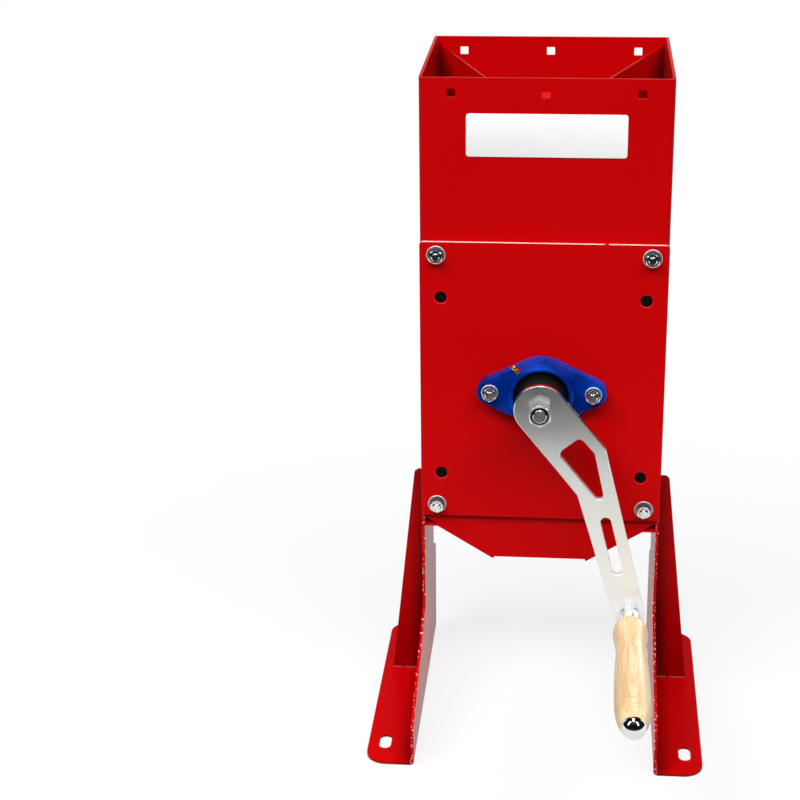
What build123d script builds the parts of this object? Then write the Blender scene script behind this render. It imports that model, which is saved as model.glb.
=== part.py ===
from build123d import *
import os
from math import atan2, cos, degrees, hypot, radians, sin, tan

# Crank nutcracker. Sizes are in millimetres. X runs left to right, Y from the crank side
# to the back, Z up. The origin is on the floor, midway between the four foot slots.

# Clearances
slip = 0.1  # around parts that are pushed together and clamped
running = 0.05  # radial, where one part turns in another
seat = 0.3  # between welded or resting sheets

# Folded sheet body
sheet = 3.0
bend = 4.5  # outer radius of a folded corner
corner_return = 9.0  # how far the folded corner's section runs back
body_width = 246.0
hopper_depth = 205.0
chamber_depth = 110.0
hopper_straight = 60.0  # upright part of the hopper's back, below the rim
slide_angle = 45.0
slide_rest = 8.0  # slide's foot above the bearing plates
front_y = 6.0  # front wall's outer face
shaft_height = 354.5

# Chute under the chamber
thin_sheet = 2.0
chute_gap = 4.0  # top of the tongues below the bearing plates
chute_drop = 44.0
chute_half_width = 48.5
chute_flange = 14.0  # level part of the chute plates, at the side walls
chute_lip = 1.0  # how far the sloping plates pass the tongue's corner

# Legs and feet
foot_length = 290.0
foot_reach = 46.7  # flange width outside the leg
foot_corner = 20.0
flare_front_top = 100.0
flare_front_bottom = 42.0
flare_back_top = 121.0
flare_back_bottom = 106.0
slot_side = 29.5  # slot's middle outside the leg
slot_end = 38.0  # slot's middle from the foot's end
slot_width = 12.0
slot_length = 26.0
gusset_y = 45.0
gusset_rise = 36.7  # above the top of the tongues
gusset_top_width = 10.7
gusset_bottom_width = 36.5
gusset_notch = 6.0
gusset_round = 5.0

# Square rim holes
rim_hole = 8.5
rim_hole_corner = 1.0
rim_hole_side = 31.5  # hole's middle from the side wall's outer face
rim_hole_drop = 15.0

# Hopper guides
guide_drop = 8.0  # top edge below the rim
guide_rest = 7.5  # lower edge above the jaws
guide_front_x = 47.0
guide_side = 4.0  # back edge from the side wall
guide_flange = 16.0

# Bearing plates, tie rods and jaw bars
plate_thickness = 5.0
plate_below = 144.5  # plate's lower edge under the shaft
plate_above = 153.5
plate_corner = 4.0
plate_edge = 0.6  # chamfer round the outer face and its windows
wall_window = 136.0  # round opening in the sheet behind each bearing
plate_bore = 34.0
tie_side = 16.5  # from the plate's side edge
tie_edge = 13.6  # from the plate's upper and lower edges
tie_diameter = 8.0
tie_nut_flats = 13.0
tie_nut_height = 6.5
tie_washer_diameter = 19.0
tie_washer_height = 1.6
thread_end = 2.5  # thread that stands out of a nut
bar_side = 21.0  # from the plate's side edge
bar_rise = 95.5  # above and below the shaft
bar_diameter = 14.0
bar_window = 12.3  # hole in the plates for the end of a bar
bar_inset = 0.5  # bar's end below the plate's outer face

# Flange bearing for a 25 mm shaft
shaft_diameter = 25.0
flange_spacing = 104.0
flange_lobe_radius = 13.0
flange_thickness = 13.0
housing_radius = 35.5
housing_height = 27.0
housing_taper = 12.0
housing_mouth = 50.0
mouth_chamfer = 4.6
cast_radius = 3.0
ring_centre = 16.0  # height of the ball row above the plate
ring_sphere = 52.0
ring_width = 17.0
ring_bore = 43.0
ball_diameter = 7.938
ball_circle = 39.0
ball_count = 9
ball_play = 0.05
inner_ring_diameter = 35.0
inner_ring_start = 1.7
inner_ring_end = 35.8
seal_thickness = 1.5
seal_inset = 0.5
set_screw_diameter = 5.0
set_screw_height = 30.5
set_screw_angles = (30.0, 150.0)
bearing_bolt_diameter = 8.0
bearing_bolt_flats = 13.0
bearing_bolt_head = 5.3
bearing_nut_height = 6.8
bearing_washer_diameter = 17.0
bearing_washer_height = 1.6
nipple_angle = 133.0
nipple_height = 19.0
nipple_thread = 6.0
nipple_hex = 7.0
nipple_hex_height = 2.5
nipple_neck = 4.0
nipple_length = 3.5
nipple_depth = 4.0

# Shaft and drum
shaft_back_end = 2.5  # past the rear inner ring
end_chamfer = 1.0
crank_seat_diameter = 20.0
crank_seat_flats = 16.5
crank_thread = 14.0
drum_gap = 9.0  # between the drum's ends and the bearing plates
drum_core = 50.0  # radius under the ribs
drum_tip = 55.0  # radius over the ribs
drum_rib_width = 8.0
drum_ribs = 12
drum_hole_circle = 30.0
drum_hole = 20.0
drum_holes = 5
key_width = 8.0
key_height = 7.0
key_shaft_depth = 4.0
key_length = 70.0

# Jaws
jaw_cover = 20.0  # jaw in front of its bars
jaw_wall = 7.0  # gap to the side wall
jaw_half_height = 108.0
jaw_mouth = 8.0  # how far the ends of the face draw back
jaw_flat = 45.0  # half height of the toothed face
jaw_teeth = 9
jaw_tooth = 3.0
jaw_side_gap = 0.5

# Crank
spacer_length = 17.0
spacer_diameter = 34.0
crank_thickness = 6.0
crank_hub_radius = 26.0
crank_end_radius = 15.5
crank_end = (94.0, -224.0)  # centre of the arm's round end from the shaft axis, X and Z
handle_rise = 6.0  # handle axis above that centre
crank_kink_left = (39.4, -90.1)
crank_kink_right = (64.3, -39.6)
crank_window = ((18.6, -45.0), (39.5, -27.7), (54.3, -44.3), (68.3, -107.4))
crank_window_radius = 4.5
crank_slot_start = (67.2, -119.0)
crank_slot_end = (80.1, -171.7)
crank_slot_width = 10.8
crank_kink_radius = 1.0
crank_edge = 0.6  # chamfer along the arm's edges
crank_nut_flats = 21.0
crank_nut_turn = 97.0  # direction of a corner
crank_nut_height = 14.8
crank_thread_end = 1.5

# Handle, measured along its axis from the crank arm's face
spindle_diameter = 10.0
spindle_collar_diameter = 12.5
spindle_collar = 2.0
spindle_thread = 8.0
spindle_nut_flats = 13.0
spindle_nut_height = 6.5
back_nut_flats = 16.0
back_nut_height = 6.0
handle_gap = 0.4
ferrule_collar_diameter = 18.8
ferrule_collar_end = 6.0
ferrule_bead_diameter = 19.6
ferrule_bead_start = 7.4
ferrule_bead_end = 11.0
ferrule_groove_diameter = 17.2
ferrule_sleeve_start = 12.2
ferrule_sleeve_diameter = 20.6
ferrule_edge = 0.6
ferrule_bore = 15.0
tenon_start = 14.0  # grip's tenon in the ferrule
ferrule_end = 30.0
grip_end = 221.0
grip_profile = (
    (ferrule_end, 11.4),
    (36.5, 15.3),
    (48.0, 17.4),
    (61.0, 16.6),
    (83.0, 15.0),
    (103.0, 15.8),
    (126.0, 16.8),
    (156.0, 17.4),
    (183.0, 17.5),
    (199.0, 16.8),
    (210.5, 15.0),
    (grip_end, 11.7),
)
pocket_diameter = 18.0
pocket_depth = 14.0
cap_dome = 9.0
cap_plug = 4.0

# Positions that follow from the sizes above
half_width = body_width / 2
inner_half = half_width - sheet
back_y = front_y + chamber_depth
hopper_back_y = front_y + hopper_depth
middle_y = (front_y + back_y) / 2
plate_bottom = shaft_height - plate_below
plate_top = shaft_height + plate_above
slide_foot = plate_top + slide_rest
slide_top = slide_foot + (hopper_back_y - back_y) * tan(radians(slide_angle))
rim_height = slide_top + hopper_straight
fold_shift = sheet * tan(radians((90 - slide_angle) / 2))
foot_front = -foot_length / 2
foot_back = foot_length / 2
plate_reach = chamber_depth / 2 + plate_thickness
chute_top = plate_bottom - chute_gap
chute_bottom = chute_top - chute_drop
chute_slope = atan2(chute_drop, inner_half - chute_half_width)
tongue_half = half_width - bend
tongue_side = chute_top - (inner_half - tongue_half) * tan(chute_slope)
tongue_right = [(chute_half_width, chute_bottom), (tongue_half, tongue_side), (tongue_half, chute_top)]
tongue = tongue_right + [(-x, z) for x, z in reversed(tongue_right)]
bar_heights = (shaft_height - bar_rise, shaft_height + bar_rise)
tie_x = half_width - tie_side
bar_x = half_width - bar_side
tie_heights = (plate_bottom + tie_edge, plate_top - tie_edge)
tie_points = [(x, z) for x in (-tie_x, tie_x) for z in tie_heights]
bar_points = [(x, z) for x in (-bar_x, bar_x) for z in bar_heights]
rim_hole_x = half_width - rim_hole_side
rim_hole_points = [(x, rim_height - rim_hole_drop) for x in (-rim_hole_x, 0, rim_hole_x)]
slot_x = half_width + slot_side
slot_points = [(slot_x, foot_front + slot_end), (slot_x, foot_back - slot_end)]
drum_length = chamber_depth - 2 * drum_gap
shaft_line = Axis((0, 0, shaft_height), (0, 1, 0))
inner_ring_tip_y = middle_y - plate_reach - inner_ring_end
crank_back_y = inner_ring_tip_y - spacer_length
crank_face_y = crank_back_y - crank_thickness
shaft_tip_y = crank_face_y - crank_nut_height - crank_thread_end
shaft_tail_y = middle_y + plate_reach + inner_ring_end + shaft_back_end
handle_x = crank_end[0]
handle_z = shaft_height + crank_end[1] + handle_rise
handle_line = Axis((handle_x, crank_face_y, handle_z), (0, -1, 0))
front_upright = Plane.XZ
side_upright = Plane.YZ


def face_plane(x, z, side):
    """Plane on a bearing plate's outer face: side -1 is the front plate, 1 the rear one."""
    return Plane(origin=(x, middle_y + side * plate_reach, z), x_dir=(-side, 0, 0), z_dir=(0, side, 0))


def shaft_plane(y):
    """Plane across the shaft at a given Y, facing the crank side."""
    return Plane(origin=(0, y, shaft_height), x_dir=(1, 0, 0), z_dir=(0, -1, 0))


def hex_radius(flats):
    return flats / cos(radians(30)) / 2


def save(part, name):
    part.label = name
    export_step(part, f"parts/{name}.step")


os.makedirs("parts", exist_ok=True)
front_face = face_plane(0, shaft_height, -1)
rear_face = face_plane(0, shaft_height, 1)
tie_faces = [face_plane(x, z, side) for x, z in tie_points for side in (-1, 1)]
bolt_faces = [
    face_plane(x, shaft_height, side) for x in (-flange_spacing / 2, flange_spacing / 2) for side in (-1, 1)
]

# Body shell: front wall with folded corners, then a side panel with its leg and foot flange,
# mirrored to the other side, then the openings.
with BuildPart() as housing_shell:
    with BuildSketch(Plane.XY.offset(chute_top)) as front_section:
        with Locations((0, front_y)):
            Rectangle(body_width, corner_return, align=(Align.CENTER, Align.MIN))
        with Locations((0, front_y + sheet)):
            Rectangle(2 * inner_half, corner_return, align=(Align.CENTER, Align.MIN), mode=Mode.SUBTRACT)
        fillet(front_section.vertices().group_by(Axis.Y)[1], bend - sheet)
        fillet(front_section.vertices().group_by(Axis.Y)[0], bend)
    extrude(amount=rim_height - chute_top)
    with BuildSketch(front_upright.offset(-front_y)):
        with BuildLine():
            Polyline(*tongue, close=True)
        make_face()
    extrude(amount=-sheet)
    with BuildSketch(side_upright.offset(inner_half)):
        with BuildLine():
            Polyline(
                (front_y + corner_return, rim_height),
                (hopper_back_y, rim_height),
                (hopper_back_y, slide_top),
                (back_y, slide_foot),
                (back_y, flare_back_top),
                (foot_back, flare_back_bottom),
                (foot_back, 0),
                (foot_front, 0),
                (foot_front, flare_front_bottom),
                (front_y, flare_front_top),
                (front_y, chute_top),
                (front_y + corner_return, chute_top),
                close=True,
            )
        make_face()
    extrude(amount=sheet)
    with BuildSketch(Plane.XY) as right_foot:
        with Locations((half_width, 0)):
            Rectangle(foot_reach, foot_length, align=(Align.MIN, Align.CENTER))
        fillet(right_foot.vertices().group_by(Axis.X)[-1], foot_corner)
        with Locations(*slot_points):
            SlotOverall(slot_length, slot_width, rotation=90, mode=Mode.SUBTRACT)
    extrude(amount=sheet)
    mirror(housing_shell.part, about=side_upright)
    foot_folds = housing_shell.edges().filter_by(Axis.Y).filter_by(lambda edge: edge.length > foot_length - 1)
    fillet(foot_folds.filter_by_position(Axis.Z, sheet - slip, sheet + slip), bend - sheet)
    inner_folds = housing_shell.edges().filter_by(Axis.Y).filter_by_position(Axis.Z, -slip, slip)
    fillet(inner_folds.filter_by_position(Axis.X, -inner_half - slip, inner_half + slip), bend)
    with BuildSketch(front_upright.offset(-front_y)):
        with Locations(*rim_hole_points):
            RectangleRounded(rim_hole, rim_hole, rim_hole_corner)
        with Locations(*tie_points):
            Circle(tie_diameter / 2 + slip)
        with Locations(*bar_points):
            Circle(bar_diameter / 2 + slip)
        with Locations((0, shaft_height)):
            Circle(wall_window / 2)
    extrude(amount=-sheet, mode=Mode.SUBTRACT)
save(housing_shell.part, "housing_shell")

# Rear wall: upright at the rim, a slide forward to the chamber, then the chamber's back with the same
# tongue and openings as the front wall.
with BuildPart() as rear_wall:
    with BuildSketch(side_upright) as rear_section:
        with BuildLine():
            Polyline(
                (hopper_back_y, rim_height),
                (hopper_back_y, slide_top),
                (back_y, slide_foot),
                (back_y, chute_top),
                (back_y - sheet, chute_top),
                (back_y - sheet, slide_foot + fold_shift),
                (hopper_back_y - sheet, slide_top + fold_shift),
                (hopper_back_y - sheet, rim_height),
                close=True,
            )
        make_face()
    extrude(amount=inner_half - slip, both=True)
    with BuildSketch(front_upright.offset(-back_y)):
        with BuildLine():
            Polyline(*tongue, close=True)
        make_face()
    extrude(amount=sheet)
    with BuildSketch(front_upright.offset(-back_y)):
        with Locations(*tie_points):
            Circle(tie_diameter / 2 + slip)
        with Locations(*bar_points):
            Circle(bar_diameter / 2 + slip)
        with Locations((0, shaft_height)):
            Circle(wall_window / 2)
    extrude(amount=sheet, mode=Mode.SUBTRACT)
    with BuildSketch(front_upright.offset(-hopper_back_y)):
        with Locations(*rim_hole_points):
            RectangleRounded(rim_hole, rim_hole, rim_hole_corner)
    extrude(amount=sheet, mode=Mode.SUBTRACT)
save(rear_wall.part, "rear_wall")


def bearing_plate(side):
    """Thick plate that carries one flange bearing and the ends of the tie rods."""
    with BuildPart() as plate:
        with BuildSketch(face_plane(0, 0, side)) as outline:
            with Locations((0, (plate_bottom + plate_top) / 2)):
                RectangleRounded(body_width, plate_top - plate_bottom, plate_corner)
            with Locations(*tie_points):
                Circle(tie_diameter / 2 + slip, mode=Mode.SUBTRACT)
            with Locations(*bar_points):
                Circle(bar_window / 2, mode=Mode.SUBTRACT)
            with Locations((0, shaft_height)):
                Circle(plate_bore / 2, mode=Mode.SUBTRACT)
            with Locations((-flange_spacing / 2, shaft_height), (flange_spacing / 2, shaft_height)):
                Circle(bearing_bolt_diameter / 2 + slip, mode=Mode.SUBTRACT)
        extrude(amount=-plate_thickness)
        outer_face = plate.faces().sort_by(lambda flat: side * flat.center().Y)[-1]
        windows = outer_face.edges().filter_by(GeomType.CIRCLE)
        windows = windows.filter_by(lambda rim: abs(2 * rim.radius - bar_window) < slip)
        chamfer([*outer_face.outer_wire().edges(), *windows], plate_edge)
    return plate.part


save(bearing_plate(-1), "front_bearing_plate")
save(bearing_plate(1), "rear_bearing_plate")


# Ribs outside the legs, notched over the foot fold
def gusset(side):
    with BuildPart() as rib:
        with BuildSketch(front_upright.offset(-gusset_y)) as outline:
            with BuildLine():
                Polyline(
                    (side * (half_width + gusset_notch), sheet),
                    (side * (half_width + gusset_bottom_width), sheet),
                    (side * (half_width + gusset_top_width), chute_top + gusset_rise),
                    (side * half_width, chute_top + gusset_rise),
                    (side * half_width, sheet + gusset_notch),
                    close=True,
                )
            make_face()
            top_corners = outline.vertices().group_by(Axis.Y)[-1]
            fillet(top_corners.sort_by(lambda corner: side * corner.X)[-1], gusset_round)
        extrude(amount=sheet / 2, both=True)
    return rib.part


save(gusset(-1), "left_gusset")
save(gusset(1), "right_gusset")


# Upright guides in the hopper: each runs from a back corner inward to the front wall, follows the
# slide with its lower edge, and has a flange against the front wall.
def guide(side):
    front_inner = front_y + sheet
    run_x = inner_half - guide_side - guide_front_x
    run_y = hopper_back_y - sheet - front_inner
    run = hypot(run_x, run_y)
    along_x, along_y = run_x / run, run_y / run
    upright = Plane(
        origin=(side * guide_front_x, front_inner, 0),
        x_dir=(side * along_x, along_y, 0),
        z_dir=(along_y, -side * along_x, 0),
    )
    chamber_run = (back_y - sheet - front_inner) / along_y
    slide_gap = seat / cos(radians(slide_angle))
    top = rim_height - guide_drop
    bottom = shaft_height + jaw_half_height + guide_rest
    with BuildPart() as sheet_guide:
        with BuildSketch(upright):
            with BuildLine():
                Polyline(
                    (thin_sheet, top),
                    (run - seat, top),
                    (run - seat, slide_top + fold_shift + slide_gap),
                    (chamber_run - seat, slide_foot + fold_shift + slide_gap),
                    (chamber_run - seat, bottom),
                    (thin_sheet, bottom),
                    close=True,
                )
            make_face()
        extrude(amount=side * thin_sheet)
        with BuildSketch(front_upright.offset(-front_inner - slip)):
            with Locations((side * guide_front_x, bottom)):
                Rectangle(guide_flange, top - bottom, align=(Align.CENTER, Align.MIN))
        extrude(amount=-thin_sheet)
    return sheet_guide.part


save(guide(-1), "left_guide")
save(guide(1), "right_guide")


# Folded plates of the chute: a level flange at the side wall, then a slope under both tongues' slanted edges
def chute_plate(side):
    fold_x = inner_half - chute_flange
    fold_z = chute_top - chute_flange * tan(chute_slope) - slip
    lip_x = chute_half_width - chute_lip
    lip_z = chute_bottom - chute_lip * tan(chute_slope) - slip
    under_fold = fold_x + thin_sheet * tan(chute_slope / 2)
    with BuildPart() as plate:
        with BuildSketch(front_upright.offset(-front_y)):
            with BuildLine():
                Polyline(
                    (side * (inner_half - slip), fold_z),
                    (side * fold_x, fold_z),
                    (side * lip_x, lip_z),
                    (side * (lip_x + thin_sheet * sin(chute_slope)), lip_z - thin_sheet * cos(chute_slope)),
                    (side * under_fold, fold_z - thin_sheet),
                    (side * (inner_half - slip), fold_z - thin_sheet),
                    close=True,
                )
            make_face()
        extrude(amount=-chamber_depth)
    return plate.part


save(chute_plate(-1), "left_chute_plate")
save(chute_plate(1), "right_chute_plate")

# Tie rods through both plates, with a washer and a nut at each end
with BuildPart() as tie_rods:
    rod_half = plate_reach + tie_washer_height + tie_nut_height + thread_end
    with BuildSketch(front_upright.offset(-middle_y)):
        with Locations(*tie_points):
            Circle(tie_diameter / 2)
    extrude(amount=rod_half, both=True)
save(tie_rods.part, "tie_rods")

with BuildPart() as tie_rod_washers:
    with BuildSketch(*tie_faces):
        Circle(tie_washer_diameter / 2)
        Circle(tie_diameter / 2 + slip, mode=Mode.SUBTRACT)
    extrude(amount=tie_washer_height)
save(tie_rod_washers.part, "tie_rod_washers")

with BuildPart() as tie_rod_nuts:
    with BuildSketch(*[face.offset(tie_washer_height) for face in tie_faces]):
        RegularPolygon(hex_radius(tie_nut_flats), 6, rotation=90)
        Circle(tie_diameter / 2 + slip / 2, mode=Mode.SUBTRACT)
    extrude(amount=tie_nut_height)
save(tie_rod_nuts.part, "tie_rod_nuts")

# Cross bars whose stepped ends sit in the round windows of the plates, and the jaws that hang on them
with BuildPart() as jaw_bars:
    with BuildSketch(front_upright.offset(-middle_y)):
        with Locations(*bar_points):
            Circle(bar_diameter / 2)
    extrude(amount=chamber_depth / 2 - slip, both=True)
    with BuildSketch(front_upright.offset(-middle_y)):
        with Locations(*bar_points):
            Circle(bar_window / 2 - slip)
    extrude(amount=plate_reach - bar_inset, both=True)
save(jaw_bars.part, "jaw_bars")


def jaw(side):
    """Toothed jaw beside the drum. The teeth are steps of the face's outline."""
    face_x = bar_x - jaw_cover
    back_x = inner_half - jaw_wall
    pitch = 2 * jaw_flat / jaw_teeth
    teeth = []
    for tooth in range(jaw_teeth):
        top = jaw_flat - tooth * pitch
        teeth.append((side * face_x, shaft_height + top))
        teeth.append((side * (face_x + jaw_tooth), shaft_height + top - pitch))
    with BuildPart() as block:
        with BuildSketch(front_upright.offset(-middle_y)):
            with BuildLine():
                Polyline(
                    (side * back_x, shaft_height + jaw_half_height),
                    (side * (face_x + jaw_mouth), shaft_height + jaw_half_height),
                    *teeth,
                    (side * (face_x + jaw_mouth), shaft_height - jaw_half_height),
                    (side * back_x, shaft_height - jaw_half_height),
                    close=True,
                )
            make_face()
            with Locations(*[(side * bar_x, z) for z in bar_heights]):
                Circle(bar_diameter / 2 + slip, mode=Mode.SUBTRACT)
        extrude(amount=chamber_depth / 2 - sheet - jaw_side_gap, both=True)
    return block.part


save(jaw(-1), "left_jaw")
save(jaw(1), "right_jaw")


# Flange bearing. Each function builds its piece on the plate face it is given.
def bearing_housing(face):
    with BuildPart() as housing:
        with BuildSketch(face):
            Circle(housing_radius)
            with Locations((-flange_spacing / 2, 0), (flange_spacing / 2, 0)):
                Circle(flange_lobe_radius)
            make_hull()
        extrude(amount=flange_thickness)
        with BuildSketch(face.offset(flange_thickness)):
            Circle(housing_radius)
        extrude(amount=housing_height - flange_thickness, taper=housing_taper)
        outward = Axis(face.origin, face.z_dir)
        fillet(housing.faces().sort_by(outward)[-1].edges(), cast_radius)
        with BuildSketch(face):
            Circle(housing_mouth / 2)
        extrude(amount=housing_height, mode=Mode.SUBTRACT)
        chamfer(housing.faces().sort_by(outward)[-1].edges().sort_by(SortBy.LENGTH)[0], mouth_chamfer)
        with Locations(face.offset(ring_centre)):
            Sphere(ring_sphere / 2 + slip, mode=Mode.SUBTRACT)
        with BuildSketch(face):
            with Locations((-flange_spacing / 2, 0), (flange_spacing / 2, 0)):
                Circle(bearing_bolt_diameter / 2 + slip)
        extrude(amount=flange_thickness, mode=Mode.SUBTRACT)
        with BuildSketch(nipple_plane(face).offset(-nipple_depth)):
            Circle(nipple_thread / 2 + slip)
        extrude(amount=nipple_depth, mode=Mode.SUBTRACT)
        with BuildSketch(nipple_plane(face)):
            Circle(hex_radius(nipple_hex) + seat)
        extrude(amount=nipple_hex_height, mode=Mode.SUBTRACT)
    return housing.part


def nipple_plane(face):
    """Plane on the housing's outside, facing along the grease nipple."""
    angle = radians(nipple_angle)
    outward = face.x_dir * cos(angle) + face.y_dir * sin(angle)
    radius = housing_radius - (nipple_height - flange_thickness) * tan(radians(housing_taper))
    return Plane(origin=face.origin + outward * radius + face.z_dir * nipple_height, z_dir=outward)


def ring_profile_plane(face):
    """Half section of a ring: local X along the shaft from the plate, local Y away from the shaft."""
    return Plane(origin=face.origin, x_dir=face.z_dir, z_dir=face.z_dir.cross(face.y_dir))


def outer_ring(face):
    with BuildPart() as ring:
        with Locations(face.offset(ring_centre)):
            Sphere(ring_sphere / 2)
        with BuildSketch(face.offset(ring_centre)):
            Circle(ring_sphere / 2)
        extrude(amount=ring_width / 2, both=True, mode=Mode.INTERSECT)
        with BuildSketch(face.offset(ring_centre)):
            Circle(ring_bore / 2)
        extrude(amount=ring_width / 2, both=True, mode=Mode.SUBTRACT)
        with BuildSketch(ring_profile_plane(face)):
            with Locations((ring_centre, ball_circle / 2)):
                Circle(ball_diameter / 2 + ball_play)
        revolve(axis=shaft_line, mode=Mode.SUBTRACT)
    return ring.part


def inner_ring(face):
    with BuildPart() as ring:
        with BuildSketch(face.offset(inner_ring_start)):
            Circle(inner_ring_diameter / 2)
            Circle(shaft_diameter / 2 + slip, mode=Mode.SUBTRACT)
        extrude(amount=inner_ring_end - inner_ring_start)
        with BuildSketch(ring_profile_plane(face)):
            with Locations((ring_centre, ball_circle / 2)):
                Circle(ball_diameter / 2 + ball_play)
        revolve(axis=shaft_line, mode=Mode.SUBTRACT)
        for angle in set_screw_angles:
            with BuildSketch(set_screw_plane(face, angle)):
                Circle(set_screw_diameter / 2 + slip)
            extrude(amount=inner_ring_diameter / 2, mode=Mode.SUBTRACT)
    return ring.part


def set_screw_plane(face, angle):
    """Plane across a set screw, through the shaft axis."""
    outward = face.x_dir * cos(radians(angle)) + face.y_dir * sin(radians(angle))
    return Plane(origin=face.origin + face.z_dir * set_screw_height, z_dir=outward)


def balls(face):
    with BuildPart() as ball_row:
        with Locations(face.offset(ring_centre)):
            with PolarLocations(ball_circle / 2, ball_count):
                Sphere(ball_diameter / 2)
    return ball_row.part


def seals(face):
    start = ring_width / 2 - seal_inset - seal_thickness
    with BuildPart() as discs:
        for offset in (start, -start - seal_thickness):
            with BuildSketch(face.offset(ring_centre + offset)):
                Circle(ring_bore / 2 - slip)
                Circle(inner_ring_diameter / 2 + running, mode=Mode.SUBTRACT)
            extrude(amount=seal_thickness)
    return discs.part


for place, face in (("front", front_face), ("rear", rear_face)):
    save(bearing_housing(face), f"{place}_bearing_housing")
    save(outer_ring(face), f"{place}_bearing_outer_ring")
    save(inner_ring(face), f"{place}_bearing_inner_ring")
    save(balls(face), f"{place}_bearing_balls")
    save(seals(face), f"{place}_bearing_seals")

with BuildPart() as bearing_set_screws:
    for face in (front_face, rear_face):
        for angle in set_screw_angles:
            with BuildSketch(set_screw_plane(face, angle).offset(shaft_diameter / 2)):
                Circle(set_screw_diameter / 2)
            extrude(amount=(inner_ring_diameter - shaft_diameter) / 2)
save(bearing_set_screws.part, "bearing_set_screws")

with BuildPart() as grease_nipples:
    for face in (front_face, rear_face):
        nipple = nipple_plane(face)
        with BuildSketch(nipple.offset(-nipple_depth)):
            Circle(nipple_thread / 2)
        extrude(amount=nipple_depth + nipple_hex_height)
        with BuildSketch(nipple.offset(slip)):
            RegularPolygon(hex_radius(nipple_hex), 6)
        extrude(amount=nipple_hex_height - slip)
        with BuildSketch(nipple.offset(nipple_hex_height)):
            Circle(nipple_neck / 2)
        extrude(amount=nipple_length)
        with Locations(nipple.offset(nipple_hex_height + nipple_length)):
            Sphere(nipple_thread / 2)
save(grease_nipples.part, "grease_nipples")

bolt_rise = bearing_washer_height + bearing_nut_height + thread_end
with BuildPart() as bearing_bolts:
    with BuildSketch(*[face.offset(-plate_thickness) for face in bolt_faces]):
        RegularPolygon(hex_radius(bearing_bolt_flats), 6)
    extrude(amount=-bearing_bolt_head)
    with BuildSketch(*[face.offset(-plate_thickness) for face in bolt_faces]):
        Circle(bearing_bolt_diameter / 2)
    extrude(amount=plate_thickness + flange_thickness + bolt_rise)
save(bearing_bolts.part, "bearing_bolts")

with BuildPart() as bearing_washers:
    with BuildSketch(*[face.offset(flange_thickness) for face in bolt_faces]):
        Circle(bearing_washer_diameter / 2)
        Circle(bearing_bolt_diameter / 2 + slip, mode=Mode.SUBTRACT)
    extrude(amount=bearing_washer_height)
save(bearing_washers.part, "bearing_washers")

with BuildPart() as bearing_nuts:
    with BuildSketch(*[face.offset(flange_thickness + bearing_washer_height) for face in bolt_faces]):
        RegularPolygon(hex_radius(bearing_bolt_flats), 6, rotation=90)
        Circle(bearing_bolt_diameter / 2 + slip / 2, mode=Mode.SUBTRACT)
    extrude(amount=bearing_nut_height)
save(bearing_nuts.part, "bearing_nuts")

# Shaft: bearing diameter from end to end, then the flatted crank seat and the thread for the crank nut
key_plane = Plane(origin=(0, middle_y, shaft_height), x_dir=(0, 1, 0), z_dir=(0, 0, 1))
key_floor = shaft_diameter / 2 - key_shaft_depth
with BuildPart() as shaft:
    with BuildSketch(shaft_plane(shaft_tail_y)):
        Circle(shaft_diameter / 2)
    extrude(amount=shaft_tail_y - crank_back_y - seat)
    with BuildSketch(shaft_plane(crank_back_y + seat)):
        Circle(crank_seat_diameter / 2)
        Rectangle(crank_seat_diameter, crank_seat_flats, mode=Mode.INTERSECT)
    extrude(amount=crank_thickness)
    with BuildSketch(shaft_plane(crank_face_y + seat)):
        Circle(crank_thread / 2)
    extrude(amount=crank_face_y + seat - shaft_tip_y)
    for end in (0, -1):
        chamfer(shaft.faces().sort_by(Axis.Y)[end].edges(), end_chamfer)
    with BuildSketch(key_plane.offset(key_floor)):
        SlotOverall(key_length, key_width)
    extrude(amount=shaft_diameter, mode=Mode.SUBTRACT)
save(shaft.part, "shaft")

with BuildPart() as drum_key:
    with BuildSketch(key_plane.offset(key_floor)):
        SlotOverall(key_length - 2 * slip, key_width - 2 * slip)
    extrude(amount=key_height)
save(drum_key.part, "drum_key")

with BuildPart() as cracking_drum:
    with BuildSketch(shaft_plane(middle_y)):
        Circle(drum_core)
        with PolarLocations(drum_core, drum_ribs):
            Rectangle(2 * (drum_tip - drum_core), drum_rib_width)
        with PolarLocations(drum_hole_circle, drum_holes, start_angle=90 + 180 / drum_holes):
            Circle(drum_hole / 2, mode=Mode.SUBTRACT)
        Circle(shaft_diameter / 2 + slip, mode=Mode.SUBTRACT)
        key_reach = key_floor + key_height + slip
        Rectangle(key_width, key_reach, align=(Align.CENTER, Align.MIN), mode=Mode.SUBTRACT)
    extrude(amount=drum_length / 2, both=True)
save(cracking_drum.part, "cracking_drum")

with BuildPart() as crank_spacer:
    with BuildSketch(shaft_plane(inner_ring_tip_y)):
        Circle(spacer_diameter / 2)
        Circle(shaft_diameter / 2 + slip, mode=Mode.SUBTRACT)
    extrude(amount=spacer_length)
save(crank_spacer.part, "crank_spacer")

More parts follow.
